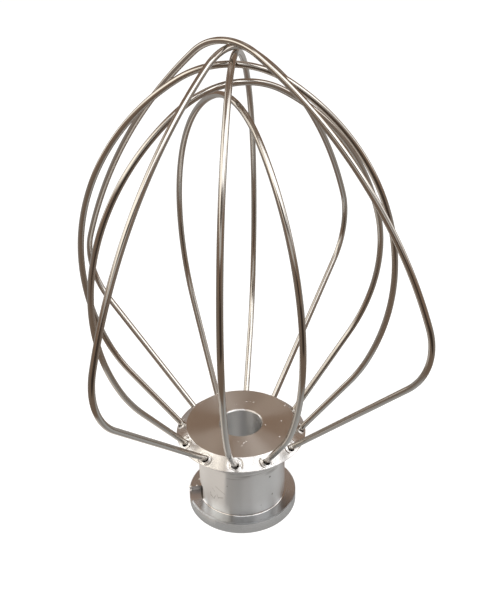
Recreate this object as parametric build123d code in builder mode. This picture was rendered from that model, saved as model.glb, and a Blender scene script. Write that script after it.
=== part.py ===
# Wire whisk for a stand mixer: a turned aluminium hub that carries six loops of round stainless wire.
# Millimetres, +Z up. The origin is the centre of the hub's base, on which the whisk stands.
# -Y is the front, and angles round the hub are counted from there towards the right.

import os
from math import acos, atan2, cos, degrees, radians, sin, tan
from typing import NamedTuple

from build123d import *

# Hub, a spool turned from bar
bore_diameter = 13.0  # runs on a half-inch drive shaft
bore_chamfer = 0.35
base_diameter = 34.0
base_thickness = 4.0
base_edge_radius = 0.4
neck_diameter = 27.0
neck_root_radius = 0.6
rim_diameter = 40.0
rim_height = 27.0
rim_flank_angle = 45.0  # slope of the cone from the neck out to the rim
face_diameter = 33.4
hub_height = 30.0

# Slot for the cross pin of the drive shaft: in at the base, round, and down into the lock
slot_width = 6.4
slot_height = 9.0  # the pin turns between here and the base flange
slot_corner_radius = 1.5
lock_angle = -75.0
lock_turn = 60.0
lock_depth = 1.4  # how far the lock sinks below the top of the base flange

# Wires, pressed into blind holes in the hub's bevel
wire_diameter = 1.8
hole_count = 12
hole_depth = 6.0
hole_clearance = 0.03  # all round the wire
crown_gap = 0.2  # between the wires that cross at the crown

# Dents of the round-nosed punch that closed the bevel on each wire, one on either side of it
stake_radius = 1.1
stake_depth = 0.4
stake_clearance = 0.15  # between a dent and the hole


class Bends(NamedTuple):
    crown: float  # radius over the top
    belly: float  # radius low down, where the wire turns in towards the hub


class Half(NamedTuple):
    reach: float  # furthest distance from the axis
    height: float  # height of that place above the base
    elbow_angle: float  # degrees above that place, or below where negative, at which the belly begins


class Loop(NamedTuple):
    name: str
    hole: int  # number of the near hole, the far one being opposite
    bends: Bends
    crown_height: float
    crown_offset: float  # how far the crown stands to one side of the axis
    near: Half
    far: Half


shoulder_bends = Bends(crown=17.2, belly=19.6)
shoulder_reach = 60.0
shoulder_height = 77.0
shoulder_elbow_angle = 20.0
round_bends = Bends(crown=26.3, belly=44.0)
round_reach = 44.0
round_height = 82.0
round_elbow_angle = -25.0

# The four upper loops lie on each other at the crown, and the other two hang free below them.
# Each half strays a little from its kind's reach and height, as the loops were bent by hand.
high_crown = 142.5
middle_crown = 137.9
low_crown = 133.6
crown_step = wire_diameter + crown_gap

front_rear_loop = Loop(
    name="round_wire_front_rear",
    hole=0,
    bends=round_bends,
    crown_height=high_crown + crown_step,
    crown_offset=0.6,
    near=Half(round_reach + 0.2, round_height + 0.2, round_elbow_angle),
    far=Half(round_reach + 9.8, round_height + 1.7, round_elbow_angle),
)
low_loop = Loop(
    name="round_wire_low",
    hole=1,
    bends=round_bends,
    crown_height=low_crown,
    crown_offset=-0.5,
    near=Half(round_reach - 3.6, round_height - 4.1, round_elbow_angle),
    far=Half(round_reach - 1, round_height + 0.7, round_elbow_angle),
)
right_front_loop = Loop(
    name="shoulder_wire_right_front",
    hole=2,
    bends=shoulder_bends,
    crown_height=high_crown + 3 * crown_step,
    crown_offset=-0.7,
    near=Half(shoulder_reach + 0.5, shoulder_height + 1.4, shoulder_elbow_angle),
    far=Half(shoulder_reach - 2.9, shoulder_height - 4.6, shoulder_elbow_angle),
)
high_loop = Loop(
    name="round_wire_high",
    hole=3,
    bends=round_bends,
    crown_height=high_crown,
    crown_offset=0.1,
    near=Half(round_reach - 0.1, round_height + 1.1, round_elbow_angle),
    far=Half(round_reach + 0.3, round_height + 1.4, round_elbow_angle),
)
middle_loop = Loop(
    name="round_wire_middle",
    hole=10,
    bends=round_bends,
    crown_height=middle_crown,
    crown_offset=0.85,
    near=Half(round_reach - 1.2, round_height - 1.8, round_elbow_angle),
    far=Half(round_reach + 2.8, round_height - 2.1, round_elbow_angle + 40),
)
left_front_loop = Loop(
    name="shoulder_wire_left_front",
    hole=11,
    bends=shoulder_bends,
    crown_height=high_crown + 2 * crown_step,
    crown_offset=-1.0,
    near=Half(shoulder_reach, shoulder_height - 0.9, shoulder_elbow_angle),
    far=Half(shoulder_reach + 1, shoulder_height - 0.2, shoulder_elbow_angle + 2),
)
loops = [front_rear_loop, low_loop, right_front_loop, high_loop, middle_loop, left_front_loop]

# Worked out from the sizes above
bore_radius = bore_diameter / 2
base_radius = base_diameter / 2
neck_radius = neck_diameter / 2
rim_radius = rim_diameter / 2
face_radius = face_diameter / 2
flank_foot = rim_height - (rim_radius - neck_radius) * tan(radians(rim_flank_angle))
lock_floor = base_thickness - lock_depth
mouth_radius = (rim_radius + face_radius) / 2  # the holes open in the middle of the bevel
mouth_height = (rim_height + hub_height) / 2
bevel_slope = atan2(hub_height - rim_height, rim_radius - face_radius)
dent_radius = (stake_depth * (2 * stake_radius - stake_depth)) ** 0.5
stake_spacing = wire_diameter / 2 + hole_clearance + stake_clearance + dent_radius
punch_rise = stake_radius - stake_depth  # from the bevel to the middle of the punch's nose


def outward(angle):
    return Vector(sin(radians(angle)), -cos(radians(angle)), 0)


def loop_plane(loop):
    """Plane of a loop: x to its near hole, y up to the crown, origin on the axis level with the holes."""
    near = outward(360 / hole_count * loop.hole)
    sideways = Vector(-near.Y, near.X, 0)
    tilt = atan2(loop.crown_offset, loop.crown_height - mouth_height)
    up = sideways * sin(tilt) + Vector(0, 0, cos(tilt))
    return Plane(origin=(0, 0, mouth_height), x_dir=near, z_dir=near.cross(up))


def bearing(turn):
    return Vector(sin(radians(turn)), cos(radians(turn)))


def turn_of(vector):
    """Degrees that a vector lies clockwise of straight up."""
    return degrees(atan2(vector.X, vector.Y)) % 360


def half_arcs(loop, half):
    """Radius and turn in degrees of the crown, the side and the belly, down to the straight leg."""
    bends = loop.bends
    crown_center = Vector(0, loop.crown_height - mouth_height - bends.crown)

    # One arc runs down the side from the crown, and the furthest place is on it or on the belly after it
    furthest = Vector(half.reach, half.height - mouth_height)
    known_turn = 90 - max(half.elbow_angle, 0)
    known = furthest + (bearing(known_turn) - bearing(90)) * bends.belly
    drop = known - crown_center
    side_radius = (drop.length**2 - bends.crown**2) / (2 * (drop.dot(bearing(known_turn)) - bends.crown))
    side_center = known - bearing(known_turn) * side_radius
    crown_turn = turn_of(crown_center - side_center)
    elbow_turn = 90 - half.elbow_angle
    belly_center = side_center + bearing(elbow_turn) * (side_radius - bends.belly)

    # The leg is the belly's tangent through the mouth of the hole
    to_mouth = Vector(mouth_radius, 0) - belly_center
    leg_turn = turn_of(to_mouth) - degrees(acos(bends.belly / to_mouth.length))
    return [
        (bends.crown, crown_turn),
        (side_radius, elbow_turn - crown_turn),
        (bends.belly, leg_turn - elbow_turn),
    ]


def draw_half(loop, half, side):
    """Draw half a loop from the crown down to the bottom of its hole: side is 1 for near and -1 for far."""
    end = Vector(0, loop.crown_height - mouth_height)
    heading = Vector(side, 0)
    for radius, turn in half_arcs(loop, half):
        arc = JernArc(end, heading, radius, -side * turn)
        end = arc @ 1
        heading = arc % 1
    mouth = Vector(side * mouth_radius, 0)
    Line(end, mouth + heading * hole_depth)


def wire_path(loop):
    with BuildLine() as path:
        draw_half(loop, loop.near, 1)
        draw_half(loop, loop.far, -1)
    return Wire(loop_plane(loop).from_local_coords(path.line).edges())


def make_wire(loop):
    path = wire_path(loop)
    with BuildPart() as wire:
        with BuildSketch(Plane(path @ 0, z_dir=path % 0)):
            Circle(wire_diameter / 2)
        sweep(path=path)
    wire.part.label = loop.name
    return wire.part


def corner(section, radius, height):
    return section.vertices().sort_by_distance((radius, height))[0]


# Hub
with BuildPart() as hub:
    with BuildSketch(Plane.XZ) as section:
        with BuildLine():
            Polyline(
                (bore_radius, 0),
                (base_radius, 0),
                (base_radius, base_thickness),
                (neck_radius, base_thickness),
                (neck_radius, flank_foot),
                (rim_radius, rim_height),
                (face_radius, hub_height),
                (bore_radius, hub_height),
                close=True,
            )
        make_face()
        fillet(corner(section, neck_radius, base_thickness), neck_root_radius)
        for height in (0, base_thickness):
            fillet(corner(section, base_radius, height), base_edge_radius)
        for height in (0, hub_height):
            chamfer(corner(section, bore_radius, height), bore_chamfer)
    revolve(axis=Axis.Z)

    # The pin comes in through the base, turns above the flange and drops into the lock
    entry_side = outward(lock_angle - lock_turn)
    lock_side = outward(lock_angle)
    with BuildSketch(Plane(origin=(0, 0, 0), x_dir=entry_side, z_dir=(0, 0, 1))):
        Rectangle(rim_radius, slot_width, align=(Align.MIN, Align.CENTER))
    extrude(amount=slot_height, mode=Mode.SUBTRACT)
    entry_wall = Plane(origin=(0, 0, slot_height), x_dir=entry_side, z_dir=entry_side.cross(Vector(0, 0, 1)))
    with BuildSketch(entry_wall):
        Rectangle(rim_radius, slot_height - base_thickness, align=(Align.MIN, Align.MAX))
    revolve(axis=Axis.Z, revolution_arc=lock_turn, mode=Mode.SUBTRACT)
    lock_wall = Plane(origin=(0, 0, lock_floor), x_dir=outward(lock_angle + 90), z_dir=lock_side)
    with BuildSketch(lock_wall) as lock:
        Rectangle(slot_width, slot_height - lock_floor, align=(Align.CENTER, Align.MIN))
        fillet(lock.vertices().group_by(Axis.Y)[-1], slot_corner_radius)
    extrude(amount=rim_radius, mode=Mode.SUBTRACT)

    # Each wire's legs run on straight to the bottoms of their holes
    for loop in loops:
        legs = wire_path(loop)
        for foot, heading in ((legs @ 0, legs % 0), (legs @ 1, legs % 1 * -1)):
            with BuildSketch(Plane(foot, z_dir=heading)):
                Circle(wire_diameter / 2 + hole_clearance)
            extrude(amount=2 * hole_depth, mode=Mode.SUBTRACT)

    # The punch stands square to the bevel on either side of each hole
    punch_height = mouth_height + punch_rise * cos(bevel_slope)
    punch_reach = mouth_radius + punch_rise * sin(bevel_slope)
    for hole in range(hole_count):
        for side in (-1, 1):
            angle = 360 / hole_count * hole
            across = outward(angle + 90) * side * stake_spacing
            center = outward(angle) * punch_reach + across + Vector(0, 0, punch_height)
            with Locations(center):
                Sphere(stake_radius, mode=Mode.SUBTRACT)
hub.part.label = "hub"

os.makedirs("parts", exist_ok=True)
export_step(hub.part, "parts/hub.step")
for loop in loops:
    export_step(make_wire(loop), f"parts/{loop.name}.step")
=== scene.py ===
import math

import bpy
import numpy as np
from mathutils import Matrix, Vector


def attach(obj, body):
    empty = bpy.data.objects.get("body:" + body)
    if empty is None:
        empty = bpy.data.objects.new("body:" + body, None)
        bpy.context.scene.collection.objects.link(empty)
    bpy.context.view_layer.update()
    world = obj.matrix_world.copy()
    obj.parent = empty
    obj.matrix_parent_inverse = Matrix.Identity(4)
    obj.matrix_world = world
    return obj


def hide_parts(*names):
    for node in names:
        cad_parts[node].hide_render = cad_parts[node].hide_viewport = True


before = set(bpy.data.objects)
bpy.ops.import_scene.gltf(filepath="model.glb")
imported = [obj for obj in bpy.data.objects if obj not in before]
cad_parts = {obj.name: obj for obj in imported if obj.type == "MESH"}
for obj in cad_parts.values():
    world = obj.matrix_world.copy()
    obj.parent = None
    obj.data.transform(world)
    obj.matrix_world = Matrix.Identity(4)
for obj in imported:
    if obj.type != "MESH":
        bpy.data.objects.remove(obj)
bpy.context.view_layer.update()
print("frame loaded:", sorted(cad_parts))

mm = 0.001
scene = bpy.context.scene
scene.view_settings.view_transform = "Standard"


# small tools for meshes

def gridFaces(rows, columns, closeRows, closeColumns):
    # quads between neighbouring rows and columns of a point grid, wrapped round where a direction is closed
    r = np.arange(rows if closeRows else rows - 1)
    c = np.arange(columns if closeColumns else columns - 1)
    r, c = np.meshgrid(r, c, indexing="ij")
    here, below = r * columns, (r + 1) % rows * columns
    nextC = (c + 1) % columns
    return np.stack([here + c, here + nextC, below + nextC, below + c], axis=-1).reshape(-1, 4)


def meshFrom(name, points, quads, triangles=None):
    # points in millimetres become a mesh in metres
    loops = [quads.ravel()]
    sizes = [np.full(len(quads), 4)]
    if triangles is not None:
        loops.append(triangles.ravel())
        sizes.append(np.full(len(triangles), 3))
    loops = np.concatenate(loops).astype(np.int32)
    sizes = np.concatenate(sizes)
    starts = np.concatenate([[0], np.cumsum(sizes)[:-1]]).astype(np.int32)
    mesh = bpy.data.meshes.new(name)
    mesh.vertices.add(len(points))
    mesh.vertices.foreach_set("co", (points * mm).astype(np.float32).ravel())
    mesh.loops.add(len(loops))
    mesh.loops.foreach_set("vertex_index", loops)
    mesh.polygons.add(len(sizes))
    mesh.polygons.foreach_set("loop_start", starts)
    mesh.update(calc_edges=True)
    mesh.polygons.foreach_set("use_smooth", np.ones(len(sizes), dtype=bool))
    mesh.validate()
    return mesh


def addPiece(name, mesh, node, material):
    piece = bpy.data.objects.new(name, mesh)
    scene.collection.objects.link(piece)
    piece.data.materials.append(material)
    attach(piece, "root")
    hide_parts(node)


def outward(angle):
    # level direction at an angle in degrees from the front, counted towards the right
    a = np.radians(angle)
    return np.stack([np.sin(a), -np.cos(a), np.zeros_like(a)], axis=-1)


# small tools for materials

def newGroup(name, inputs, outputs):
    group = bpy.data.node_groups.new(name, "ShaderNodeTree")
    for label, kind, value in inputs:
        socket = group.interface.new_socket(label, in_out="INPUT", socket_type=kind)
        socket.default_value = value
    for label, kind in outputs:
        group.interface.new_socket(label, in_out="OUTPUT", socket_type=kind)
    return group, group.nodes.new("NodeGroupInput"), group.nodes.new("NodeGroupOutput")


def addNode(tree, kind, settings=None, **values):
    node = tree.nodes.new(kind)
    for key, value in (settings or {}).items():
        setattr(node, key, value)
    for key, value in values.items():
        node.inputs[key].default_value = value
    return node


def mathNode(tree, operation, a, b=None, c=None):
    node = tree.nodes.new("ShaderNodeMath")
    node.operation = operation
    for i, value in enumerate((a, b, c)):
        if value is None:
            continue
        if isinstance(value, (int, float)):
            node.inputs[i].default_value = value
        else:
            tree.links.new(value, node.inputs[i])
    return node.outputs[0]


def vectorNode(tree, operation, a, b):
    node = addNode(tree, "ShaderNodeVectorMath", dict(operation=operation))
    for socket, value in zip(node.inputs, (a, b)):
        if isinstance(value, tuple):
            socket.default_value = value
        else:
            tree.links.new(value, socket)
    return node.outputs["Value" if operation in ("DOT_PRODUCT", "DISTANCE") else "Vector"]


def rampNode(tree, factor, stops):
    node = tree.nodes.new("ShaderNodeValToRGB")
    elements = node.color_ramp.elements
    while len(elements) < len(stops):
        elements.new(0.5)
    for element, (place, value) in zip(elements, stops):
        element.position = place
        element.color = (value, value, value, 1) if isinstance(value, (int, float)) else (*value, 1)
    tree.links.new(factor, node.inputs[0])
    return node.outputs[0]


def mixColor(tree, factor, a, b):
    node = addNode(tree, "ShaderNodeMix", dict(data_type="RGBA"))
    for socket, value in ((node.inputs[0], factor), (node.inputs[6], a), (node.inputs[7], b)):
        if isinstance(value, (int, float)):
            socket.default_value = value
        elif isinstance(value, tuple):
            socket.default_value = (*value, 1)
        else:
            tree.links.new(value, socket)
    return node.outputs[2]


def placeGroup(tree, group, **values):
    node = tree.nodes.new("ShaderNodeGroup")
    node.node_tree = group
    for key, value in values.items():
        socket = node.inputs[key]
        if isinstance(value, (int, float, tuple)):
            socket.default_value = value
        else:
            tree.links.new(value, socket)
    return node


def newMaterial(name):
    material = bpy.data.materials.new(name)
    material.use_nodes = True
    tree = material.node_tree
    tree.nodes.clear()
    shader = tree.nodes.new("ShaderNodeBsdfPrincipled")
    output = tree.nodes.new("ShaderNodeOutputMaterial")
    tree.links.new(shader.outputs[0], output.inputs[0])
    return material, tree, shader


# effects that are placed in the metals

def makeScratchGroup():
    # thin hairlines: noise stretched along one axis, kept only near its middle value
    group, inside, outside = newGroup(
        "hairScratches",
        [
            ("Vector", "NodeSocketVector", (0, 0, 0)),
            ("Scale", "NodeSocketFloat", 1.0),
            ("Width", "NodeSocketFloat", 0.02),
        ],
        [("Mask", "NodeSocketFloat")],
    )
    mapped = addNode(group, "ShaderNodeMapping")
    mapped.inputs["Rotation"].default_value = (0.4, 0.7, 0.9)
    mapped.inputs["Scale"].default_value = (1.0, 0.06, 1.0)
    group.links.new(inside.outputs["Vector"], mapped.inputs["Vector"])
    noise = addNode(group, "ShaderNodeTexNoise", Detail=1.0)
    group.links.new(mapped.outputs[0], noise.inputs["Vector"])
    group.links.new(inside.outputs["Scale"], noise.inputs["Scale"])
    off = mathNode(group, "ABSOLUTE", mathNode(group, "SUBTRACT", noise.outputs["Fac"], 0.5))
    line = mathNode(group, "LESS_THAN", off, inside.outputs["Width"])
    patch = addNode(group, "ShaderNodeTexNoise", Scale=220.0, Detail=2.0)
    group.links.new(inside.outputs["Vector"], patch.inputs["Vector"])
    some = mathNode(group, "GREATER_THAN", patch.outputs["Fac"], 0.58)
    group.links.new(mathNode(group, "MULTIPLY", line, some), outside.inputs["Mask"])
    return group


def makeCloudGroup():
    # soft uneven tone: two sizes of noise added together
    group, inside, outside = newGroup(
        "unevenTone",
        [("Vector", "NodeSocketVector", (0, 0, 0)), ("Scale", "NodeSocketFloat", 100.0)],
        [("Tone", "NodeSocketFloat")],
    )
    broad = addNode(group, "ShaderNodeTexNoise", Detail=3.0)
    fine = addNode(group, "ShaderNodeTexNoise", Detail=2.0)
    for noise, factor in ((broad, 1.0), (fine, 6.0)):
        group.links.new(inside.outputs["Vector"], noise.inputs["Vector"])
        group.links.new(mathNode(group, "MULTIPLY", inside.outputs["Scale"], factor), noise.inputs["Scale"])
    fineShare = 0.35
    mostly = mathNode(group, "MULTIPLY", broad.outputs["Fac"], 1 - fineShare)
    summed = mathNode(group, "MULTIPLY_ADD", fine.outputs["Fac"], fineShare, mostly)
    group.links.new(summed, outside.inputs["Tone"])
    return group


def makeHairlineGroup():
    # one hairline: 1 where a point lies nearer than a width to a straight run
    group, inside, outside = newGroup(
        "hairline",
        [
            ("Point", "NodeSocketVector", (0, 0, 0)),
            ("Start", "NodeSocketVector", (0, 0, 0)),
            ("Run", "NodeSocketVector", (1, 0, 0)),
            ("Width", "NodeSocketFloat", 0.1),
        ],
        [("Mask", "NodeSocketFloat")],
    )
    point, start, run, width = (inside.outputs[name] for name in ("Point", "Start", "Run", "Width"))
    away = vectorNode(group, "SUBTRACT", point, start)
    along = vectorNode(group, "DOT_PRODUCT", away, run)
    share = mathNode(group, "DIVIDE", along, vectorNode(group, "DOT_PRODUCT", run, run))
    share = mathNode(group, "MINIMUM", mathNode(group, "MAXIMUM", share, 0.0), 1.0)
    scaled = addNode(group, "ShaderNodeVectorMath", dict(operation="SCALE"))
    group.links.new(run, scaled.inputs[0])
    group.links.new(share, scaled.inputs["Scale"])
    off = vectorNode(group, "DISTANCE", away, scaled.outputs[0])
    group.links.new(mathNode(group, "LESS_THAN", off, width), outside.inputs["Mask"])
    return group


scratchGroup = makeScratchGroup()
cloudGroup = makeCloudGroup()
hairlineGroup = makeHairlineGroup()


# wire steel

wireFinish = dict(
    color=(0.585, 0.56, 0.525),
    darker=(0.48, 0.45, 0.41),
    roughness=(0.10, 0.16),
    scratchRoughness=0.05,
    lineDepth=0.02,
)


def makeWireSteel():
    material, tree, shader = newMaterial("wireSteel")
    shader.inputs["Metallic"].default_value = 1.0
    place = tree.nodes.new("ShaderNodeTexCoord")
    cloud = placeGroup(tree, cloudGroup, Vector=place.outputs["Object"], Scale=90.0)
    scratch = placeGroup(tree, scratchGroup, Vector=place.outputs["Object"], Scale=900.0, Width=0.012)
    color = mixColor(tree, cloud.outputs["Tone"], wireFinish["color"], wireFinish["darker"])
    tree.links.new(color, shader.inputs["Base Color"])
    low, high = wireFinish["roughness"]
    rough = rampNode(tree, cloud.outputs["Tone"], [(0.3, low), (0.7, high)])
    rough = mathNode(tree, "MULTIPLY_ADD", scratch.outputs["Mask"], wireFinish["scratchRoughness"], rough)
    tree.links.new(rough, shader.inputs["Roughness"])

    # drawing lines run along the wire: noise that is long in u and short in v
    uv = tree.nodes.new("ShaderNodeUVMap")
    uv.uv_map = "alongWire"
    stretched = addNode(tree, "ShaderNodeMapping")
    stretched.inputs["Scale"].default_value = (0.15, 60.0, 1.0)
    tree.links.new(uv.outputs[0], stretched.inputs["Vector"])
    lines = addNode(tree, "ShaderNodeTexNoise", Scale=1.0, Detail=3.0)
    tree.links.new(stretched.outputs[0], lines.inputs["Vector"])
    bump = addNode(tree, "ShaderNodeBump", Strength=wireFinish["lineDepth"], Distance=0.00005)
    tree.links.new(lines.outputs["Fac"], bump.inputs["Height"])
    tree.links.new(bump.outputs[0], shader.inputs["Normal"])
    return material


# hub aluminium

slotSizes = dict(
    width=6.4,
    height=9.0,
    corner=1.5,
    entryCorner=0.05,
    entryFloor=-2.0,
    turnFloor=4.0,
    lockFloor=2.6,
    lockAngle=-75.0,
    turn=60.0,
    reach=24.0,
    cornerPoints=7,
    turnPoints=49,
)
hubFinish = dict(
    color=(0.82, 0.815, 0.81),
    darker=(0.74, 0.73, 0.715),
    faceColor=(0.70, 0.66, 0.61),
    flangeColor=(0.74, 0.805, 0.88),
    slotColor=(0.80, 0.785, 0.79),
    # dark painted shade deep in the slot: the way through the neck and the lock's front wall
    slotShadeColor=(0.26, 0.245, 0.23),
    # painted shade on the front of the flange's top
    flangeShadeColor=(0.33, 0.34, 0.35),
    markColor=(0.30, 0.28, 0.26),
    fleckColor=(0.95, 0.94, 0.92),
    anisotropy=0.95,
    neckRoughness=0.30,
    faceRoughness=0.34,
    bevelRoughness=0.24,
    flangeRoughness=0.22,
    edgeRoughness=0.42,
    rootRoughness=0.08,
    boreRoughness=0.32,
    slotRoughness=0.45,
    insideRoughness=0.50,
    fleckRoughness=0.12,
    markRoughness=0.2,  # added to the roughness below it
    unevenness=0.06,
    faceShare=0.75,  # how much of its own colour the face has
    flangeShare=0.8,
    toolLineShare=0.45,
    toolLineScale=(0.03, 3.4),  # per degree, per millimetre of height
    toolLineLeast=0.57,
    scratchShare=0.75,
    ringShare=0.3,  # how much of the unevenness is in rings
    ringsPerMm=7.0,
    ringDepth=0.03,
    toolLineAngles=(-15.0, 60.0),
    # where the painted shade on the flange's top is darkest, and how it fades away from there
    flangeShadeAngle=28.0,
    flangeShadeFade=[(0.36, 1.0), (0.70, 0.0)],  # share of a quarter turn from there, how much is left
)
# limits of the hub's surfaces: distances from the axis and heights in millimetres, with a little to spare
hubEdges = dict(
    boreReach=6.62,
    faceLow=29.95,
    bevelLow=26.9,
    bevelReach=16.0,
    flangeTop=4.3,
    flangeReach=13.7,
    topsideLow=3.7,
    edgeHeights=(3.6, 4.1),
    edgeReach=16.6,
    rootHeights=(3.9, 4.46),
    rootReaches=(13.4, 13.97),
    neckRadius=13.5,
    neckReaches=(13.3, 13.7),
    underRimHeights=(18.3, 26.5),
    underRimReaches=(13.3, 19.5),
    lockStart=5.5,
    lockInside=13.4,
    lockFront=0.4,
    slack=0.04,
)
# painted light and shade round the bore's wall: share of the turn from the front, colour
boreLightAndShade = [
    (0.30, (1.0, 0.99, 0.97)),
    (0.43, (0.92, 0.905, 0.885)),
    (0.52, (0.72, 0.72, 0.725)),
    (0.58, (0.82, 0.83, 0.835)),
    (0.66, (0.70, 0.72, 0.735)),
]
# pits in the neck: angle, height and radius
neckPits = [(45, 17.0, 0.32), (49, 9.6, 0.26), (-14, 15.5, 0.16), (31, 7.2, 0.15)]
# scratches on the neck: angle and height of both ends, half the width
neckScratches = [
    (-40.8, 9.4, -34.8, 8.5, 0.10),
    (-32.5, 10.0, -34.8, 8.6, 0.09),
    (-28.1, 9.7, -20.7, 10.3, 0.10),
    (-32.1, 14.0, -17.7, 12.0, 0.07),
    (-30.0, 10.9, -27.5, 9.4, 0.06),
    (-41.5, 10.4, -40.0, 9.0, 0.07),
    (-38.0, 12.6, -33.0, 11.6, 0.05),
]


def within(tree, value, low, high):
    # 1 where a value lies between two others
    above = mathNode(tree, "GREATER_THAN", value, low)
    return mathNode(tree, "MULTIPLY", above, mathNode(tree, "LESS_THAN", value, high))


def allOf(tree, *masks):
    whole = masks[0]
    for mask in masks[1:]:
        whole = mathNode(tree, "MULTIPLY", whole, mask)
    return whole


def sparseNoise(tree, vector, scale, least):
    # 1 in the few places where a noise is at its highest
    noise = addNode(tree, "ShaderNodeTexNoise", Scale=scale, Detail=1.0)
    tree.links.new(vector, noise.inputs["Vector"])
    return mathNode(tree, "GREATER_THAN", noise.outputs["Fac"], least)


def hubPlaces(tree, vector):
    # masks of the hub's surfaces, from the distance to its axis, the height, and the angle from the front
    e = hubEdges
    parts = tree.nodes.new("ShaderNodeSeparateXYZ")
    tree.links.new(vector, parts.inputs[0])
    x, y, z = (mathNode(tree, "MULTIPLY", axis, 1 / mm) for axis in parts.outputs)
    reach = mathNode(tree, "SQRT", mathNode(tree, "MULTIPLY_ADD", x, x, mathNode(tree, "MULTIPLY", y, y)))
    turn = mathNode(tree, "ARCTAN2", x, mathNode(tree, "MULTIPLY", y, -1.0))
    angle = mathNode(tree, "MULTIPLY", turn, math.degrees(1))

    # the slot, and what lies deep in it: the way through the neck and the lock's front wall, which are given
    # a dark painted shade
    outX, outY = (float(axis) for axis in outward(np.array(slotSizes["lockAngle"]))[:2])
    side = mathNode(tree, "MULTIPLY_ADD", x, -outY, mathNode(tree, "MULTIPLY", y, outX))
    along = mathNode(tree, "MULTIPLY_ADD", x, outX, mathNode(tree, "MULTIPLY", y, outY))
    half = slotSizes["width"] / 2 + e["slack"]
    slot = allOf(
        tree,
        within(tree, side, -half, half),
        mathNode(tree, "GREATER_THAN", along, e["lockStart"]),
        within(tree, z, slotSizes["lockFloor"] - e["slack"], slotSizes["height"] + e["slack"]),
    )
    # painted shade falls on what lies deep in the slot: inside the neck's wall and along the lock's front
    # wall
    deep = mathNode(tree, "LESS_THAN", reach, e["lockInside"])
    deep = mathNode(tree, "MAXIMUM", deep, mathNode(tree, "GREATER_THAN", side, half - e["lockFront"]))

    onBevel = mathNode(tree, "GREATER_THAN", reach, e["bevelReach"])
    onFlange = mathNode(tree, "GREATER_THAN", reach, e["flangeReach"])
    onEdge = mathNode(tree, "GREATER_THAN", reach, e["edgeReach"])
    places = dict(
        bore=mathNode(tree, "LESS_THAN", reach, e["boreReach"]),
        face=mathNode(tree, "GREATER_THAN", z, e["faceLow"]),
        bevel=allOf(tree, within(tree, z, e["bevelLow"], e["faceLow"]), onBevel),
        flange=allOf(tree, mathNode(tree, "LESS_THAN", z, e["flangeTop"]), onFlange),
        edge=allOf(tree, within(tree, z, *e["edgeHeights"]), onEdge),
        root=allOf(tree, within(tree, z, *e["rootHeights"]), within(tree, reach, *e["rootReaches"])),
        slot=slot,
        inside=allOf(tree, slot, deep),
    )
    return reach, z, angle, places


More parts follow.
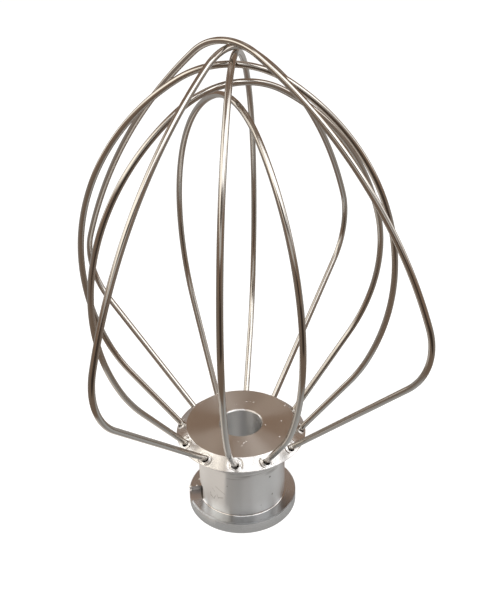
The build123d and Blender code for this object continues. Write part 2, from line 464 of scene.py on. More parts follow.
def makeHubAluminium():
    material, tree, shader = newMaterial("hubAluminium")
    shader.inputs["Metallic"].default_value = 1.0
    shader.inputs["Anisotropic"].default_value = hubFinish["anisotropy"]
    shader.inputs["Anisotropic Rotation"].default_value = 0.25
    tangent = addNode(tree, "ShaderNodeTangent", dict(direction_type="RADIAL", axis="Z"))
    tree.links.new(tangent.outputs[0], shader.inputs["Tangent"])
    place = tree.nodes.new("ShaderNodeTexCoord").outputs["Object"]
    reach, z, angle, places = hubPlaces(tree, place)

    # turning lines: noise read only at the distance from the axis and the height, so it runs in rings
    ring = tree.nodes.new("ShaderNodeCombineXYZ")
    tree.links.new(mathNode(tree, "MULTIPLY", reach, hubFinish["ringsPerMm"]), ring.inputs[0])
    tree.links.new(mathNode(tree, "MULTIPLY", z, hubFinish["ringsPerMm"]), ring.inputs[1])
    rings = addNode(tree, "ShaderNodeTexNoise", Scale=1.0, Detail=2.0)
    tree.links.new(ring.outputs[0], rings.inputs["Vector"])
    cloud = placeGroup(tree, cloudGroup, Vector=place, Scale=120.0)
    cloudy = mathNode(tree, "MULTIPLY", cloud.outputs["Tone"], 1 - hubFinish["ringShare"])
    tone = mathNode(tree, "MULTIPLY_ADD", rings.outputs["Fac"], hubFinish["ringShare"], cloudy)
    color = mixColor(tree, tone, hubFinish["color"], hubFinish["darker"])

    # the bore's wall gets painted light and shade round it; the face, the flange's top and the slot have
    # tones of their own; painted shade darkens the front of the flange's top
    turned = mathNode(tree, "MULTIPLY", mathNode(tree, "FLOORED_MODULO", angle, 360.0), 1 / 360)
    # painted light and shade round the bore's wall
    color = mixColor(tree, places["bore"], color, rampNode(tree, turned, boreLightAndShade))
    share = mathNode(tree, "MULTIPLY", places["face"], hubFinish["faceShare"])
    color = mixColor(tree, share, color, hubFinish["faceColor"])
    topside = allOf(tree, places["flange"], mathNode(tree, "GREATER_THAN", z, hubEdges["topsideLow"]))
    share = mathNode(tree, "MULTIPLY", topside, hubFinish["flangeShare"])
    color = mixColor(tree, share, color, hubFinish["flangeColor"])
    # painted shade on the front of the flange's top, fading with the angle from its middle
    away = mathNode(tree, "ABSOLUTE", mathNode(tree, "SUBTRACT", angle, hubFinish["flangeShadeAngle"]))
    left = rampNode(tree, mathNode(tree, "MULTIPLY", away, 1 / 90), hubFinish["flangeShadeFade"])
    color = mixColor(tree, mathNode(tree, "MULTIPLY", topside, left), color, hubFinish["flangeShadeColor"])
    color = mixColor(tree, places["slot"], color, hubFinish["slotColor"])
    # dark painted shade on the way through the neck and the lock's front wall
    color = mixColor(tree, places["inside"], color, hubFinish["slotShadeColor"])

    # marks: coarse tool lines under the rim, scratches and pits in the neck, and bright flecks
    coarse = tree.nodes.new("ShaderNodeCombineXYZ")
    for value, scale, socket in zip((angle, z), hubFinish["toolLineScale"], coarse.inputs):
        tree.links.new(mathNode(tree, "MULTIPLY", value, scale), socket)
    toolLines = allOf(
        tree,
        sparseNoise(tree, coarse.outputs[0], 1.0, hubFinish["toolLineLeast"]),
        within(tree, z, *hubEdges["underRimHeights"]),
        within(tree, reach, *hubEdges["underRimReaches"]),
        within(tree, angle, *hubFinish["toolLineAngles"]),
    )
    unrolled = tree.nodes.new("ShaderNodeCombineXYZ")
    perDegree = math.radians(1) * hubEdges["neckRadius"]
    tree.links.new(mathNode(tree, "MULTIPLY", angle, perDegree), unrolled.inputs[0])
    tree.links.new(z, unrolled.inputs[1])
    marks = mathNode(tree, "MULTIPLY", toolLines, hubFinish["toolLineShare"])
    onNeck = within(tree, reach, *hubEdges["neckReaches"])
    for angle0, height0, angle1, height1, width in neckScratches:
        run = ((angle1 - angle0) * perDegree, height1 - height0, 0.0)
        start = (angle0 * perDegree, height0, 0.0)
        line = placeGroup(tree, hairlineGroup, Point=unrolled.outputs[0], Start=start, Run=run, Width=width)
        scratch = allOf(tree, line.outputs["Mask"], onNeck, hubFinish["scratchShare"])
        marks = mathNode(tree, "MAXIMUM", marks, scratch)
    for pitAngle, pitHeight, pitRadius in neckPits:
        away = vectorNode(tree, "DISTANCE", unrolled.outputs[0], (pitAngle * perDegree, pitHeight, 0.0))
        pit = allOf(tree, mathNode(tree, "LESS_THAN", away, pitRadius), onNeck)
        marks = mathNode(tree, "MAXIMUM", marks, pit)
    color = mixColor(tree, marks, color, hubFinish["markColor"])
    flecks = addNode(tree, "ShaderNodeAttribute", dict(attribute_name="fleck")).outputs["Fac"]
    tree.links.new(mixColor(tree, flecks, color, hubFinish["fleckColor"]), shader.inputs["Base Color"])

    # each surface has its own roughness, a little uneven
    rough = hubFinish["neckRoughness"]
    for name, mask in places.items():
        change = mathNode(tree, "SUBTRACT", hubFinish[name + "Roughness"], rough)
        rough = mathNode(tree, "MULTIPLY_ADD", mask, change, rough)
    uneven = mathNode(tree, "SUBTRACT", tone, 0.5)
    rough = mathNode(tree, "MULTIPLY_ADD", uneven, hubFinish["unevenness"], rough)
    rough = mathNode(tree, "MULTIPLY_ADD", marks, hubFinish["markRoughness"], rough)
    change = mathNode(tree, "SUBTRACT", hubFinish["fleckRoughness"], rough)
    tree.links.new(mathNode(tree, "MULTIPLY_ADD", flecks, change, rough), shader.inputs["Roughness"])
    bump = addNode(tree, "ShaderNodeBump", Strength=hubFinish["ringDepth"], Distance=0.00005)
    tree.links.new(rings.outputs["Fac"], bump.inputs["Height"])
    tree.links.new(bump.outputs[0], shader.inputs["Normal"])
    return material


wireSteel = makeWireSteel()
hubAluminium = makeHubAluminium()
print("materials made")


# wires

wireSizes = dict(
    radius=0.9,
    mouthRadius=18.35,
    mouthHeight=28.5,
    holeDepth=6.0,
    holePitch=30.0,
    sides=28,
    step=0.7,
    legSteps=24,
)
shoulderBends = dict(crown=17.2, belly=19.6, elbow=20.0)
roundBends = dict(crown=26.3, belly=44.0, elbow=-25.0)

# near and far: how far out each half goes, at what height, and its elbow where it isn't its kind's
wireLoops = {
    "round_wire_front_rear": dict(
        hole=0, bends=roundBends, crown=144.5, offset=0.6, near=(44.2, 82.2), far=(53.8, 83.7)
    ),
    "round_wire_low": dict(
        hole=1, bends=roundBends, crown=133.6, offset=-0.5, near=(40.4, 77.9), far=(43.0, 82.7)
    ),
    "shoulder_wire_right_front": dict(
        hole=2, bends=shoulderBends, crown=148.5, offset=-0.7, near=(60.5, 78.4), far=(57.1, 72.4)
    ),
    "round_wire_high": dict(
        hole=3, bends=roundBends, crown=142.5, offset=0.1, near=(43.9, 83.1), far=(44.3, 83.4)
    ),
    "round_wire_middle": dict(
        hole=10, bends=roundBends, crown=137.9, offset=0.85, near=(42.8, 80.2), far=(46.8, 79.9, 15.0)
    ),
    "shoulder_wire_left_front": dict(
        hole=11, bends=shoulderBends, crown=146.5, offset=-1.0, near=(60.0, 76.1), far=(61.0, 76.8, 22.0)
    ),
}


def bearing(turn):
    # unit vector at a turn in degrees clockwise of straight up
    a = np.radians(turn)
    return np.stack([np.sin(a), np.cos(a)], axis=-1)


def turnOf(v):
    # degrees that a vector lies clockwise of straight up
    return math.degrees(math.atan2(v[0], v[1])) % 360


def halfLine(loop, half):
    # crown, side and belly are three arcs, each tangent to the next, and a straight leg runs into the hole
    bends, mouth = loop["bends"], np.array([wireSizes["mouthRadius"], 0.0])
    reach, height, elbow = (*half, bends["elbow"])[:3]
    crownCenter = np.array([0.0, loop["crown"] - wireSizes["mouthHeight"] - bends["crown"]])
    furthest = np.array([reach, height - wireSizes["mouthHeight"]])
    knownTurn = 90 - max(elbow, 0)
    known = furthest + (bearing(knownTurn) - bearing(90)) * bends["belly"]
    drop = known - crownCenter
    side = (drop @ drop - bends["crown"] ** 2) / (2 * (drop @ bearing(knownTurn) - bends["crown"]))
    sideCenter = known - bearing(knownTurn) * side
    crownTurn = turnOf(crownCenter - sideCenter)
    elbowTurn = 90 - elbow
    bellyCenter = sideCenter + bearing(elbowTurn) * (side - bends["belly"])
    toMouth = mouth - bellyCenter
    legTurn = turnOf(toMouth) - math.degrees(math.acos(bends["belly"] / np.hypot(*toMouth)))

    arcs = [
        (crownCenter, bends["crown"], 0.0, crownTurn),
        (sideCenter, side, crownTurn, elbowTurn),
        (bellyCenter, bends["belly"], elbowTurn, legTurn),
    ]
    points, turns = [], []
    for center, radius, start, end in arcs:
        count = max(4, int(radius * math.radians(end - start) / wireSizes["step"]))
        turn = np.linspace(start, end, count, endpoint=False)
        points.append(center + radius * bearing(turn))
        turns.append(turn)
    legStart = bellyCenter + bends["belly"] * bearing(legTurn)
    legEnd = mouth + bearing(legTurn + 90) * wireSizes["holeDepth"]
    share = np.linspace(0, 1, wireSizes["legSteps"])
    points.append(legStart + (legEnd - legStart) * share[:, None])
    turns.append(np.full(len(share), legTurn))
    return np.concatenate(points), np.concatenate(turns)


def loopFrame(loop):
    # the loop's flat plane: its origin on the axis level with the holes, and the directions out to the near
    # hole, up to the crown and square to both
    near = outward(np.array(wireSizes["holePitch"] * loop["hole"]))
    sideways = np.array([-near[1], near[0], 0.0])
    tilt = math.atan2(loop["offset"], loop["crown"] - wireSizes["mouthHeight"])
    up = sideways * math.sin(tilt) + np.array([0, 0, math.cos(tilt)])
    return np.array([0, 0, wireSizes["mouthHeight"]]), near, up, np.cross(near, up)


def wireTube(name, loop):
    # a circle carried along the flat loop: at each place it stands square to the wire's own direction
    nearPoints, nearTurns = halfLine(loop, loop["near"])
    farPoints, farTurns = halfLine(loop, loop["far"])
    line = np.concatenate([farPoints[:0:-1] * [-1, 1], nearPoints])
    turns = np.concatenate([-farTurns[:0:-1], nearTurns])
    origin, near, up, square = loopFrame(loop)
    centers = origin + line[:, :1] * near + line[:, 1:] * up
    outer = bearing(turns)
    normals = outer[:, :1] * near + outer[:, 1:] * up

    around = np.linspace(0, 2 * np.pi, wireSizes["sides"], endpoint=False)
    ring = np.cos(around)[None, :, None] * normals[:, None] + np.sin(around)[None, :, None] * square
    points = centers[:, None] + wireSizes["radius"] * ring
    rows, columns = points.shape[:2]
    flat = np.concatenate([points.reshape(-1, 3), centers[:1], centers[-1:]])
    quads = gridFaces(rows, columns, False, True)[:, ::-1]
    c = np.arange(columns)
    first, last = rows * columns, rows * columns + 1
    startCap = np.stack([np.full(columns, first), c, (c + 1) % columns], axis=-1)
    endRow = (rows - 1) * columns
    endCap = np.stack([np.full(columns, last), endRow + (c + 1) % columns, endRow + c], axis=-1)
    mesh = meshFrom(name, flat, quads, np.concatenate([startCap, endCap]))

    # map along the wire in millimetres and once round it
    length = np.concatenate([[0], np.cumsum(np.linalg.norm(np.diff(centers, axis=0), axis=1))])
    u = np.concatenate([np.repeat(length, columns), length[[0, -1]]])
    v = np.concatenate([np.tile(np.arange(columns) / columns, rows), [0.5, 0.5]])
    corners = np.zeros(len(mesh.loops), dtype=np.int32)
    mesh.loops.foreach_get("vertex_index", corners)
    layer = mesh.uv_layers.new(name="alongWire")
    layer.data.foreach_set("uv", np.stack([u[corners], v[corners]], axis=-1).astype(np.float32).ravel())
    return mesh


for name, loop in wireLoops.items():
    addPiece(name.replace("_wire_", "Wire_"), wireTube(name, loop), name, wireSteel)
print("wires made")


# hub

hubSizes = dict(
    rimRadius=20.0,
    rimHeight=27.0,
    faceRadius=16.7,
    height=30.0,
    holes=12,
    columns=720,
    cornerPoints=6,
    edgeRow=0.05,
    sharpAngle=28.0,
)
hubCorners = [  # distance from the axis, height, rounding of the corner, spacing of the points after it
    (6.5, 0.35, 0.06, 30),
    (6.5, 29.65, 0.06, 30),
    (6.85, 30.0, 0.08, 30),
    (16.7, 30.0, 0.10, 0.125),
    (20.0, 27.0, 0.14, 30),
    (13.5, 20.5, 0.4, 30),
    (13.5, 4.0, 0.45, 30),
    (17.0, 4.0, 0.4, 30),
    (17.0, 0.0, 0.4, 30),
    (6.85, 0.0, 0.06, 30),
]
stakeMarks = dict(
    lipReach=1.42,
    lipWidth=0.16,
    lip=0.05,
    dentReach=1.9,
    dentWidth=0.34,
    dentDepth=0.20,
    dentSpan=(25, 62),  # degrees round the hole, full and gone
    burr=0.07,
    burrReach=1.7,  # this and the burr's width count in widths of the dent
    burrWidth=0.5,
    fade=(1.75, 2.1),  # up and down the bevel, full and gone
)
# for each hole in turn: how deep its left and right dents are, and how far they sit off the level in degrees
stakeHits = [
    (0.55, 1.0, 20), (1.0, 0.7, -10), (0.8, 1.0, 15), (0.7, 0.9, -25), (1.0, 0.6, 5), (0.8, 0.8, 30),
    (0.6, 1.0, -15), (1.0, 0.9, 10), (0.9, 0.5, 25), (0.7, 1.0, -5), (0.8, 1.0, 20), (0.7, 1.0, -20),
]


def roundedSection(corners):
    # closed outline whose corners are arcs that touch both neighbours, with points along the straight runs
    place = np.array([c[:2] for c in corners])
    points = []
    count = len(corners)
    starts, ends, arcs = [], [], []
    for i in range(count):
        back = place[i - 1] - place[i]
        onward = place[(i + 1) % count] - place[i]
        back, onward = back / np.hypot(*back), onward / np.hypot(*onward)
        half = math.acos(np.clip(back @ onward, -1, 1)) / 2
        radius = corners[i][2]
        center = place[i] + (back + onward) / np.hypot(*(back + onward)) * radius / math.sin(half)
        start = place[i] + back * radius / math.tan(half)
        end = place[i] + onward * radius / math.tan(half)
        a0 = math.atan2(*(start - center)[::-1])
        sweep = (math.atan2(*(end - center)[::-1]) - a0 + math.pi) % (2 * math.pi) - math.pi
        angle = a0 + sweep * np.linspace(0, 1, hubSizes["cornerPoints"])
        starts.append(start)
        ends.append(end)
        arcs.append(center + radius * np.stack([np.cos(angle), np.sin(angle)], axis=-1))
    for i in range(count):
        run = starts[(i + 1) % count] - ends[i]
        steps = max(1, int(round(np.hypot(*run) / corners[i][3])))
        edge = hubSizes["edgeRow"] / np.hypot(*run)  # a row close to each corner keeps the flats flat
        share = np.unique(np.concatenate([[edge, 1 - edge], np.arange(1, steps) / steps]))[:, None]
        points += [arcs[i], ends[i] + run * share]
    return np.concatenate(points)


def smoothStep(edge0, edge1, value):
    t = np.clip((value - edge0) / (edge1 - edge0), 0, 1)
    return t * t * (3 - 2 * t)


def stakeDepth(across, along, left, right, turn):
    # how far the bevel is raised or pushed in: a lip round the hole, and on either side a crescent dent with
    # a burr along both its edges; each is a bell curve of the distance from the hole's middle
    m = stakeMarks
    away = np.hypot(across, along)
    around = np.degrees(np.arctan2(along, across))
    marks = m["lip"] * np.exp(-(((away - m["lipReach"]) / m["lipWidth"]) ** 2))
    for middle, deep in ((turn, right), (180 - turn, left)):
        window = 1 - smoothStep(*m["dentSpan"], np.abs((around - middle + 180) % 360 - 180))
        off = (away - m["dentReach"]) / m["dentWidth"]
        burr = m["burr"] * np.exp(-(((np.abs(off) - m["burrReach"]) / m["burrWidth"]) ** 2))
        marks += deep * window * (burr - m["dentDepth"] * np.exp(-(off**2)))
    return marks


def hubBlank():
    # the section turned about the axis, with the bevel pushed in round each of the holes
    section = roundedSection(hubCorners)
    angles = np.linspace(0, 360, hubSizes["columns"], endpoint=False)
    reach, height = np.repeat(section[:, :1], len(angles), 1), np.repeat(section[:, 1:], len(angles), 1)
    rim = np.array([hubSizes["rimRadius"], hubSizes["rimHeight"]])
    top = np.array([hubSizes["faceRadius"], hubSizes["height"]])
    slope = (top - rim) / np.hypot(*(top - rim))
    normal = np.array([slope[1], -slope[0]])
    middle = (rim + top) / 2
    along = (reach - middle[0]) * slope[0] + (height - middle[1]) * slope[1]
    away = (reach - middle[0]) * normal[0] + (height - middle[1]) * normal[1]
    pitch = 360 / hubSizes["holes"]
    offAngle = (angles + pitch / 2) % pitch - pitch / 2
    across = np.radians(offAngle)[None] * reach
    onBevel = (np.abs(away) < 0.01) & (np.abs(along) < stakeMarks["fade"][1])
    hole = np.floor((angles + pitch / 2) / pitch).astype(int) % hubSizes["holes"]
    left, right, turn = np.array(stakeHits).T[:, hole]
    push = np.where(onBevel, stakeDepth(across, along, left, right, turn), 0.0)
    fade = 1 - smoothStep(*stakeMarks["fade"], np.abs(along))
    reach = reach + push * fade * normal[0]
    height = height + push * fade * normal[1]
    points = reach[..., None] * outward(angles)[None] + height[..., None] * np.array([0, 0, 1.0])
    quads = gridFaces(len(section), len(angles), True, True)
    return meshFrom("hubBlank", points.reshape(-1, 3), quads)


holeSizes = dict(radius=1.15, drop=0.2, depth=4.0, rise=3.0, sides=28)


def prism(outline, start, path, across, up):
    # a flat convex outline carried straight along a path, with both ends closed
    flat = start + outline[:, :1] * across + outline[:, 1:] * up
    n = len(outline)
    i = np.arange(n)
    quads = np.stack([i, (i + 1) % n, n + (i + 1) % n, n + i], axis=-1)
    j = np.arange(1, n - 1)
    low = np.stack([np.zeros_like(j), j + 1, j], axis=-1)
    high = np.stack([np.full_like(j, n), n + j, n + j + 1], axis=-1)
    return np.concatenate([flat, flat + path]), quads, np.concatenate([low, high])


def slotBlock(name, angle, low, high, corner):
    # a straight slot cut outwards from the axis, its two upper corners rounded
    out = outward(np.array(angle))
    half = slotSizes["width"] / 2
    turn = np.radians(np.linspace(0, 90, slotSizes["cornerPoints"]))
    right = np.stack([half - corner + corner * np.cos(turn), high - corner + corner * np.sin(turn)], axis=-1)
    outline = np.concatenate([[[-half, low], [half, low]], right, right[::-1] * [-1, 1]])
    across = np.array([-out[1], out[0], 0.0])
    path = out * slotSizes["reach"]
    return meshFrom(name, *prism(outline, np.zeros(3), path, across, np.array([0, 0, 1.0])))


def wireHoles():
    # round holes along the legs of the wires, a little low so that a gap shows under each wire
    turn = np.linspace(0, 2 * np.pi, holeSizes["sides"], endpoint=False)
    circle = np.stack([np.cos(turn), np.sin(turn)], axis=-1) * holeSizes["radius"]
    bevelOut = hubSizes["rimRadius"] - hubSizes["faceRadius"]
    bevelDown = np.array([0, 0, hubSizes["rimHeight"] - hubSizes["height"]])
    pieces = []
    for loop in wireLoops.values():
        origin, near, up, square = loopFrame(loop)
        for side, half in ((1, loop["near"]), (-1, loop["far"])):
            heading = bearing(halfLine(loop, half)[1][-1] + 90)
            inward = side * heading[0] * near + heading[1] * up
            slope = side * near * bevelOut + bevelDown
            drop = slope / np.linalg.norm(slope) * holeSizes["drop"]
            mouth = origin + side * wireSizes["mouthRadius"] * near + drop
            start = mouth - inward * holeSizes["rise"]
            path = inward * (holeSizes["depth"] + holeSizes["rise"])
            across = np.cross(inward, square)
            pieces.append(prism(circle, start, path, square, across / np.linalg.norm(across)))
    step = len(pieces[0][0])
    points = np.concatenate([p for p, q, t in pieces])
    quads = np.concatenate([q + i * step for i, (p, q, t) in enumerate(pieces)])
    triangles = np.concatenate([t + i * step for i, (p, q, t) in enumerate(pieces)])
    return meshFrom("wireHoles", points, quads, triangles)


def slotSweep(name, start, end, low, high):
    # the band that the pin sweeps as it turns: a sector between two heights
    angles = np.linspace(start, end, slotSizes["turnPoints"])
    rim = outward(angles) * slotSizes["reach"]
    points = np.concatenate([rim + [0, 0, low], rim + [0, 0, high], [[0, 0, low], [0, 0, high]]])
    n = len(angles)
    i = np.arange(n - 1)
    quads = np.concatenate([
        np.stack([i, i + 1, n + i + 1, n + i], axis=-1),
        [[2 * n, 0, n, 2 * n + 1], [n - 1, 2 * n, 2 * n + 1, 2 * n - 1]],
    ])
    triangles = np.concatenate([
        np.stack([np.full(n - 1, 2 * n), i + 1, i], axis=-1),
        np.stack([np.full(n - 1, 2 * n + 1), n + i, n + i + 1], axis=-1),
    ])
    return meshFrom(name, points, quads, triangles)


def cutHub(blank):
    # cutters, one after the other: the holes for the wires, then the way in, the turn and the lock
    s = slotSizes
    entry = s["lockAngle"] - s["turn"]
    cutters = [
        wireHoles(),
        slotBlock("slotEntry", entry, s["entryFloor"], s["height"], s["entryCorner"]),
        slotSweep("slotTurn", entry, s["lockAngle"], s["turnFloor"], s["height"]),
        slotBlock("slotLock", s["lockAngle"], s["lockFloor"], s["height"], s["corner"]),
    ]
    body = bpy.data.objects.new("hubCutting", blank)
    scene.collection.objects.link(body)
    holders = []
    for mesh in cutters:
        holder = bpy.data.objects.new(mesh.name, mesh)
        scene.collection.objects.link(holder)
        cut = body.modifiers.new(mesh.name, "BOOLEAN")
        cut.operation = "DIFFERENCE"
        cut.solver = "EXACT"
        cut.object = holder
        holders.append(holder)
    result = bpy.data.meshes.new_from_object(body.evaluated_get(bpy.context.evaluated_depsgraph_get()))
    for used in [body, *holders]:
        bpy.data.objects.remove(used)
    result.name = "hub"
    result.materials.clear()
    result.polygons.foreach_set("use_smooth", np.ones(len(result.polygons), dtype=bool))
    result.set_sharp_from_angle(angle=math.radians(hubSizes["sharpAngle"]))
    return result


addPiece("turnedHub", cutHub(hubBlank()), "hub", hubAluminium)

fleckShape = dict(sides=14, rings=9, thickness=1 / 3, glintAngle=10.0, glintTilt=49.0)
# flecks and burrs left by the tools: angle, distance from the axis, height, length, width, turn
hubFlecks = [
    (176, 10.7, 30.0, 0.95, 0.20, 8),
    (169, 10.9, 30.0, 0.35, 0.18, -30),
    (164, 10.95, 30.0, 0.70, 0.16, 5),
    (-165, 9.6, 30.0, 0.50, 0.18, 40),
    (10, 10.2, 30.0, 0.80, 0.24, 55),
    (7, 11.4, 30.0, 0.45, 0.26, -20),
    (15, 9.6, 30.0, 0.55, 0.20, 80),
    (0, 9.4, 30.0, 0.45, 0.18, 30),
    (84, 7.7, 30.0, 0.50, 0.20, -60),
    (97, 12.4, 30.0, 0.42, 0.20, 20),
    (63, 13.8, 30.0, 0.45, 0.22, -10),
    (126, 15.9, 30.0, 0.95, 0.26, 35),
    (-85.9, 16.7, 4.1, 1.05, 0.75, 0),
    (-85.4, 16.6, 2.85, 1.20, 0.65, 20),
    (-101.0, 14.4, 4.15, 0.95, 0.60, 30),
    (-88.0, 14.6, 4.15, 0.85, 0.60, 0),
]


def makeFlecks():
    # each fleck is a ball flattened to a flake, partly out of the surface and tilted so that it glints
    circle = np.linspace(0, 2 * np.pi, fleckShape["sides"], endpoint=False)
    around, rise = np.meshgrid(circle, np.radians(np.linspace(-88, 88, fleckShape["rings"])))
    girth = np.cos(rise)
    ball = np.stack([girth * np.cos(around), girth * np.sin(around), np.sin(rise)], axis=-1).reshape(-1, 3)
    rows, columns = rise.shape
    quads = gridFaces(rows, columns, False, True)
    j = np.arange(1, columns - 1)
    low = np.stack([np.zeros_like(j), j + 1, j], axis=-1)
    high = (rows - 1) * columns + np.stack([np.zeros_like(j), j, j + 1], axis=-1)
    level = outward(np.array(fleckShape["glintAngle"] + 90))
    tilt = math.radians(fleckShape["glintTilt"])
    glint = outward(np.array(fleckShape["glintAngle"])) * math.cos(tilt) + np.array([0, 0, math.sin(tilt)])
    steep = np.cross(glint, level)
    points = []
    for angle, distance, height, length, width, turn in hubFlecks:
        spin = math.radians(turn)
        along = level * math.cos(spin) + steep * math.sin(spin)
        across = steep * math.cos(spin) - level * math.sin(spin)
        axes = np.stack([along * length, across * width, glint * width * fleckShape["thickness"]]) / 2
        points.append(ball @ axes + outward(np.array(float(angle))) * distance + [0, 0, height])
    steps = np.arange(len(hubFlecks))[:, None, None] * len(ball)
    allQuads = (quads + steps).reshape(-1, 4)
    caps = (np.concatenate([low, high]) + steps).reshape(-1, 3)
    mesh = meshFrom("hubFlecks", np.concatenate(points), allQuads, caps)
    layer = mesh.attributes.new("fleck", "FLOAT", "POINT")
    layer.data.foreach_set("value", np.ones(len(mesh.vertices), dtype=np.float32))
    return mesh


addPiece("hubFlecks", makeFlecks(), "hub", hubAluminium)
print("hub made")


# floor, cards and lamps

floorSizes = dict(wide=6.0, color=(0.30, 0.30, 0.30), glow=0.90)


def linkShaders(tree, kind, factor, first, second):
    node = tree.nodes.new(kind)
    sockets = node.inputs if factor is None else node.inputs[1:]
    if factor is not None:
        tree.links.new(factor, node.inputs[0])
    tree.links.new(first, sockets[0])
    tree.links.new(second, sockets[1])
    return node.outputs[0]


def seenRay(tree):
    # 1 for what the camera sees straight, in metal or through glass
    ray = tree.nodes.new("ShaderNodeLightPath")
    either = mathNode(tree, "MAXIMUM", ray.outputs["Is Camera Ray"], ray.outputs["Is Glossy Ray"])
    return mathNode(tree, "MAXIMUM", either, ray.outputs["Is Transmission Ray"])


def bareMaterial(name):
    material = bpy.data.materials.new(name)
    material.use_nodes = True
    material.node_tree.nodes.clear()
    return material, material.node_tree, material.node_tree.nodes.new("ShaderNodeOutputMaterial")


def floorMaterial():
    # white where it is seen, with the whisk's shadow kept, and a plain grey surface to other light
    material, tree, output = bareMaterial("paleFloor")
    matt = tree.nodes.new("ShaderNodeBsdfDiffuse")
    matt.inputs["Color"].default_value = (*floorSizes["color"], 1)
    glow = addNode(tree, "ShaderNodeEmission", Strength=floorSizes["glow"])
    both = linkShaders(tree, "ShaderNodeAddShader", None, matt.outputs[0], glow.outputs[0])
    seen = linkShaders(tree, "ShaderNodeMixShader", seenRay(tree), matt.outputs[0], both)
    tree.links.new(seen, output.inputs[0])
    return material


def addFloor():
    half = floorSizes["wide"] / 2
    mesh = bpy.data.meshes.new("floor")
    corners = [(-half, -half, 0), (half, -half, 0), (half, half, 0), (-half, half, 0)]
    mesh.from_pydata(corners, [], [(0, 1, 2, 3)])
    floor = bpy.data.objects.new("floor", mesh)
    scene.collection.objects.link(floor)
    mesh.materials.append(floorMaterial())


addFloor()

worldColor = (0.30, 0.27, 0.245)


def addWorld():
    # white where it is seen, and a dim warm room to other light
    world = bpy.data.worlds.new("studio")
    scene.world = world
    world.use_nodes = True
    tree = world.node_tree
    tree.nodes.clear()
    room = addNode(tree, "ShaderNodeBackground", Strength=1.0)
    room.inputs["Color"].default_value = (*worldColor, 1)
    white = addNode(tree, "ShaderNodeBackground", Strength=1.0)
    white.inputs["Color"].default_value = (1, 1, 1, 1)
    output = tree.nodes.new("ShaderNodeOutputWorld")
    seen = linkShaders(tree, "ShaderNodeMixShader", seenRay(tree), room.outputs[0], white.outputs[0])
    tree.links.new(seen, output.inputs[0])


addWorld()

# the room that shows in the metal: a dome and a table top, which only reflections see
roomLight = dict(
    columns=240,
    radius=1300.0,
    rows=91,
    upper=(0.29, 0.202, 0.148),
    tableRadius=1300.0,
    tableHeight=0.05,
    tableRows=90,
    table=(0.24, 0.178, 0.135),
)
roomPatches = [  # angle round the whisk, height, half width, half height, soft edge, colour
    (0, 90, 360, 24, 10, (0.34, 0.27, 0.225)),
    (30, 61, 56, 13, 4, (2.3, 2.3, 2.3)),
    (80, 32, 24, 10, 5, (0.70, 0.71, 0.72)),
    (64, 50, 28, 12, 4, (2.9, 2.9, 2.9)),
    (-58, 40, 34, 14, 7, (2.0, 1.9, 1.72)),
    (-105, 22, 14, 16, 5, (1.8, 1.75, 1.65)),
    (104, 30, 12, 20, 5, (2.0, 1.96, 1.92)),
    (6, 38, 36, 7, 3, (0.16, 0.135, 0.115)),
    (8, 24, 30, 7, 3, (0.75, 0.73, 0.70)),
    (10, -2, 20, 17, 5, (0.06, 0.045, 0.035)),
    (-153, 51, 6, 8, 2.5, (0.85, 0.78, 0.72)),
    (176, 61, 7, 7, 2.5, (1.0, 0.92, 0.86)),
]
tablePatches = [  # angle round the whisk, distance, half width, half depth, soft edge of both, colour
    (0, 0, 360, 70, 25, (0.48, 0.475, 0.47)),
    (180, 60, 55, 60, 15, (0.27, 0.21, 0.175)),
    (180, 620, 95, 480, 60, (0.44, 0.425, 0.41)),
    (-86, 30, 56, 60, 5, (0.83, 0.78, 0.725)),
    (-12, 30, 17, 60, 4, (0.385, 0.38, 0.37)),
    (62, 30, 36, 60, 12, (0.53, 0.54, 0.54)),
    # a darker ring close to the whisk: painted shadow of the hub on the reflected table
    (0, 0, 360, 21, 3, (0.37, 0.37, 0.365)),
    (20, 600, 27, 430, 6, (0.06, 0.045, 0.035)),
]


def softBand(value, middle, half, soft):
    # 1 within a band, falling to 0 over a soft edge
    return 1 - smoothStep(half - soft, half + soft, np.abs(value - middle))


def patchTone(base, patches, angle, height):
    # patches laid over a base colour one after the other, each a soft rectangle in angle and height
    tone = np.broadcast_to(np.array(base), (*angle.shape, 3)).copy()
    for middle, level, wide, tall, soft, color in patches:
        turned = (angle - middle + 180) % 360 - 180
        weight = softBand(turned, 0, wide, soft) * softBand(height, level, tall, soft)
        tone += weight[..., None] * (np.array(color) - tone)
    return tone


def addCard(name, points, tone):
    # a glowing grid that only reflections see; its colours are kept on its points
    rows, columns = points.shape[:2]
    mesh = meshFrom(name, points.reshape(-1, 3), gridFaces(rows, columns, False, True))
    layer = mesh.color_attributes.new("glow", "FLOAT_COLOR", "POINT")
    shade = np.concatenate([tone.reshape(-1, 3), np.ones((rows * columns, 1))], axis=1)
    layer.data.foreach_set("color", shade.astype(np.float32).ravel())
    material, tree, output = bareMaterial(name)
    kept = addNode(tree, "ShaderNodeAttribute", dict(attribute_name="glow"))
    glow = addNode(tree, "ShaderNodeEmission", Strength=1.0)
    tree.links.new(kept.outputs["Color"], glow.inputs["Color"])
    tree.links.new(glow.outputs[0], output.inputs[0])
    mesh.materials.append(material)
    card = bpy.data.objects.new(name, mesh)
    scene.collection.objects.link(card)
    card.visible_camera = card.visible_diffuse = card.visible_transmission = False
    card.visible_shadow = card.visible_volume_scatter = False


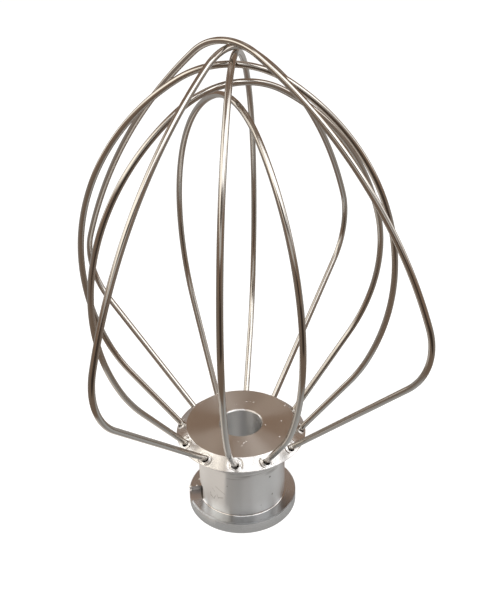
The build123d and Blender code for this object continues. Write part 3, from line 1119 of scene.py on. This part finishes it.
def addRoom():
    # dome: a ball's upper half, by angle and height; table top: a disc, by angle and distance
    turn = np.linspace(-180, 180, roomLight["columns"], endpoint=False)
    angle, height = np.meshgrid(turn, np.linspace(0, 90, roomLight["rows"]))
    level = np.cos(np.radians(height))[..., None]
    rise = np.sin(np.radians(height))[..., None]
    points = roomLight["radius"] * (outward(angle) * level + rise * [0, 0, 1])
    addCard("roomDome", points, patchTone(roomLight["upper"], roomPatches, angle, height))
    share = np.linspace(0, 1, roomLight["tableRows"]) ** 3  # closer rows near the whisk
    angle, distance = np.meshgrid(turn, roomLight["tableRadius"] * share)
    points = outward(angle) * distance[..., None] + [0, 0, roomLight["tableHeight"]]
    addCard("tableTop", points, patchTone(roomLight["table"], tablePatches, angle, distance))


addRoom()


lampAim = (0.0, 0.0, 0.06)
lamps = [  # name, angle round the whisk, elevation, distance, width, height, power, colour
    ("frontBox", 30, 62, 0.75, 0.55, 0.40, 4.2, (1.0, 0.99, 0.97)),
    ("leftBox", -100, 40, 0.7, 0.20, 0.35, 1.6, (1.0, 0.97, 0.92)),
    ("rightBox", 95, 35, 0.7, 0.20, 0.35, 1.0, (0.95, 0.97, 1.0)),
]


def addLamp(name, angle, elevation, distance, width, height, power, color):
    # soft box that looks at the whisk's lower half from an angle round it and an elevation
    e = math.radians(elevation)
    out = Vector(outward(np.array(float(angle))))
    aim = Vector(lampAim)
    lamp = bpy.data.lights.new(name, "AREA")
    lamp.shape = "RECTANGLE"
    lamp.size, lamp.size_y = width, height
    lamp.energy = power
    lamp.color = color
    holder = bpy.data.objects.new(name, lamp)
    scene.collection.objects.link(holder)
    holder.visible_glossy = False  # the cards stand for the boxes in the metal
    holder.location = aim + (out * math.cos(e) + Vector((0, 0, math.sin(e)))) * distance
    holder.rotation_euler = (aim - holder.location).to_track_quat("-Z", "Y").to_euler()


for lamp in lamps:
    addLamp(*lamp)
print("stage made")


# camera at the photograph's place, for a picture 500 wide and 591 high

cameraSizes = dict(
    back=242.665,
    up=217.694,
    turn=6.3,
    pitch=30.417,
    yaw=0.8313,
    roll=-1.0375,
    focal=987.595,  # in pixels of the picture
    picture=591,  # its longer side
    sensor=36.0,
)


def addCamera():
    s = cameraSizes
    pitch, yaw, roll = (math.radians(s[k]) for k in ("pitch", "yaw", "roll"))
    forward = Vector((math.sin(yaw) * math.cos(pitch), math.cos(yaw) * math.cos(pitch), -math.sin(pitch)))
    level = Vector((math.cos(yaw), -math.sin(yaw), 0))
    above = level.cross(forward)
    right = level * math.cos(roll) + above * math.sin(roll)
    up = -level * math.sin(roll) + above * math.cos(roll)
    data = bpy.data.cameras.new("photoCamera")
    data.sensor_fit = "AUTO"
    data.sensor_width = s["sensor"]
    data.lens = s["focal"] / s["picture"] * s["sensor"]
    data.clip_start, data.clip_end = 0.01, 20.0
    camera = bpy.data.objects.new("photoCamera", data)
    scene.collection.objects.link(camera)
    axes = Matrix((right, up, -forward)).transposed().to_4x4()
    place = Matrix.Translation(Vector((0, -s["back"], s["up"])) * mm)
    camera.matrix_world = Matrix.Rotation(math.radians(s["turn"]), 4, "Z") @ place @ axes
    scene.camera = camera


addCamera()
print("camera made")
